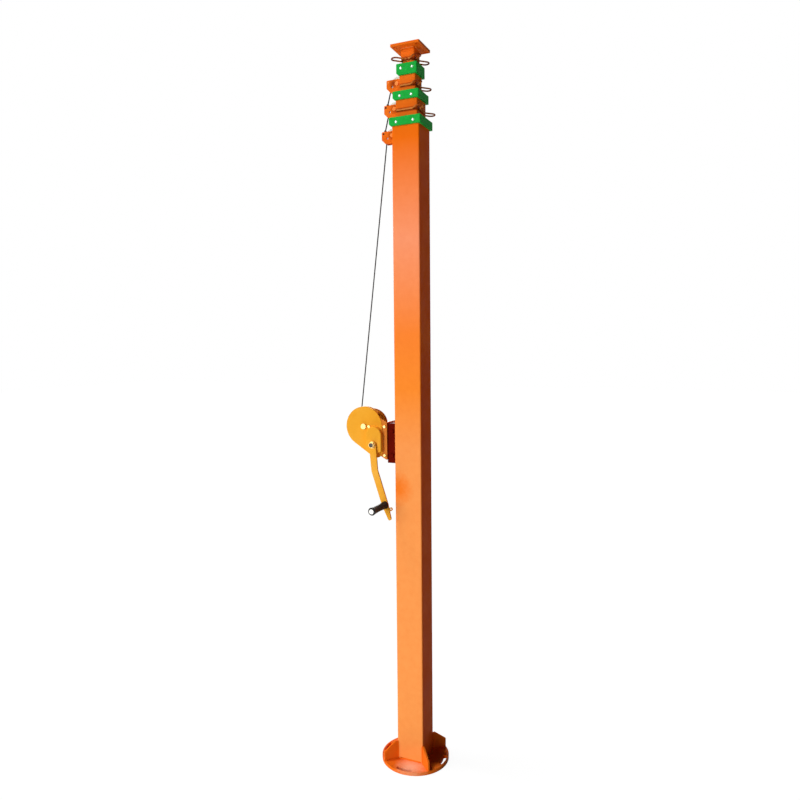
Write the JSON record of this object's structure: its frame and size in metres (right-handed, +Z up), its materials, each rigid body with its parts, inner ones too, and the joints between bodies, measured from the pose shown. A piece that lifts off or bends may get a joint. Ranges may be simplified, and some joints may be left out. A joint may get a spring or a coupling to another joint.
{
  "type": "telescopic lifting pole",
  "caption": "Square-tube telescopic mast on a bolted round base, raised by a hand-cranked gear winch through wire ropes and pulleys, with guy eyes and a head plate.",
  "frame": {"origin": "centre of the base flange's underside, on the floor", "axes": "+Z up along the mast, -Y to the front where the crank handle points, -X to the winch and pulleys"},
  "size_m": [0.366, 0.3, 2.519],
  "materials": {
    "orange_paint": "powder coat",
    "maroon_paint": "paint",
    "yellow_paint": "paint",
    "green_nylon": "machined nylon",
    "white_nylon": "machined nylon",
    "zinc_steel": "zinc plate",
    "wire_rope": "galvanised strand",
    "gear_steel": "cut teeth, oiled",
    "black_plastic": "moulded",
    "gold_zinc": "yellow zinc plate"
  },
  "bodies": {
    "mast_base": {"base_flange": "orange_paint", "base_gussets": "orange_paint", "outer_tube": "orange_paint", "collar_1": "green_nylon", "collar_1_screws": "zinc_steel", "bracket_1": "orange_paint", "sheave_1_axle": "orange_paint", "rope_2_socket": "gear_steel", "winch_mount": "maroon_paint", "winch_bolts": "zinc_steel", "winch_frame": "yellow_paint", "gear_cover": "yellow_paint", "brake_cover": "yellow_paint", "cover_bolts": "gold_zinc", "drum_axle": "gold_zinc", "rope_1_outside": "wire_rope", "rope_1_wrap": "wire_rope", "rope_1_inside": "wire_rope", "rope_2_outside": "wire_rope"},
    "stage_2": {"tube_2": "orange_paint", "shoe_2": "white_nylon", "rope_1_ferrule": "zinc_steel", "collar_2": "green_nylon", "collar_2_screws": "zinc_steel", "bracket_2": "orange_paint", "sheave_2_axle": "orange_paint", "rope_3_socket": "gear_steel", "guy_eyes_2": "orange_paint", "rope_2_wrap": "wire_rope", "rope_2_inside": "wire_rope", "rope_3_outside": "wire_rope"},
    "stage_3": {"tube_3": "orange_paint", "shoe_3": "white_nylon", "rope_2_ferrule": "zinc_steel", "collar_3": "green_nylon", "collar_3_screws": "zinc_steel", "bracket_3": "orange_paint", "sheave_3_axle": "orange_paint", "guy_eyes_3": "orange_paint", "rope_3_wrap": "wire_rope", "rope_3_inside": "wire_rope"},
    "stage_4": {"tube_4": "orange_paint", "shoe_4": "white_nylon", "rope_3_ferrule": "zinc_steel", "head_socket": "orange_paint", "top_plate": "orange_paint", "guy_eyes_4": "orange_paint"},
    "pulley_1": {"sheave_1": "black_plastic"},
    "pulley_2": {"sheave_2": "black_plastic"},
    "pulley_3": {"sheave_3": "black_plastic"},
    "drum": {"winch_drum": "yellow_paint", "drum_gear": "gear_steel", "rope_winding": "wire_rope"},
    "crank": {"drive_shaft": "gear_steel", "crank_arm": "yellow_paint", "crank_nut": "gold_zinc", "grip_spindle": "zinc_steel"},
    "handle": {"grip": "black_plastic"},
    "brake_ratchet": {"ratchet_wheel": "gear_steel"},
    "brake_pawl": {"pawl": "gear_steel"}
  },
  "joints": [
    {"name": "stage_2_lift", "type": "slide", "parent": "mast_base", "child": "stage_2", "axis": [0, 0, 1], "range_m": [0, 1.9], "deforming": ["rope_1_outside", "rope_1_inside", "rope_2_outside"]},
    {"name": "stage_3_lift", "type": "slide", "parent": "stage_2", "child": "stage_3", "axis": [0, 0, 1], "range_m": [0, 1.9], "deforming": ["rope_2_inside", "rope_3_outside"]},
    {"name": "stage_4_lift", "type": "slide", "parent": "stage_3", "child": "stage_4", "axis": [0, 0, 1], "range_m": [0, 1.9], "deforming": ["rope_3_inside"]},
    {"name": "pulley_1_spin", "type": "hinge", "parent": "mast_base", "child": "pulley_1", "pos_m": [-0.066, 0, 2.234], "axis": [0, -1, 0], "continuous": true},
    {"name": "pulley_2_spin", "type": "hinge", "parent": "stage_2", "child": "pulley_2", "pos_m": [-0.056, 0, 2.321], "axis": [0, -1, 0], "continuous": true},
    {"name": "pulley_3_spin", "type": "hinge", "parent": "stage_3", "child": "pulley_3", "pos_m": [-0.046, 0, 2.404], "axis": [0, -1, 0], "continuous": true},
    {"name": "drum_spin", "type": "hinge", "parent": "mast_base", "child": "drum", "pos_m": [-0.173, 0, 1.222], "axis": [0, -1, 0], "continuous": true},
    {"name": "crank_spin", "type": "hinge", "parent": "mast_base", "child": "crank", "pos_m": [-0.12951, 0, 1.16013], "axis": [0, -1, 0], "continuous": true},
    {"name": "handle_spin", "type": "hinge", "parent": "crank", "child": "handle", "pos_m": [-0.08202, 0, 0.94813], "axis": [0, -1, 0], "continuous": true},
    {"name": "ratchet_spin", "type": "hinge", "parent": "mast_base", "child": "brake_ratchet", "pos_m": [-0.12951, 0, 1.16013], "axis": [0, -1, 0], "continuous": true},
    {"name": "pawl_lift", "type": "hinge", "parent": "mast_base", "child": "brake_pawl", "pos_m": [-0.14652, 0, 1.18713], "axis": [0, -1, 0], "range_deg": [0, 12], "stiffness_Nm_per_rad": 0.01, "springref_deg": -17.19}
  ],
  "couplings": [
    {"joint": "stage_3_lift", "follows": "stage_2_lift", "ratio": 1},
    {"joint": "stage_4_lift", "follows": "stage_2_lift", "ratio": 1},
    {"joint": "pulley_1_spin", "follows": "stage_2_lift", "rad_per_m": 44.444},
    {"joint": "pulley_2_spin", "follows": "stage_2_lift", "rad_per_m": 44.444},
    {"joint": "pulley_3_spin", "follows": "stage_2_lift", "rad_per_m": 44.444},
    {"joint": "drum_spin", "follows": "stage_2_lift", "rad_per_m": 27.027},
    {"joint": "crank_spin", "follows": "stage_2_lift", "rad_per_m": -108.11}
  ]
}
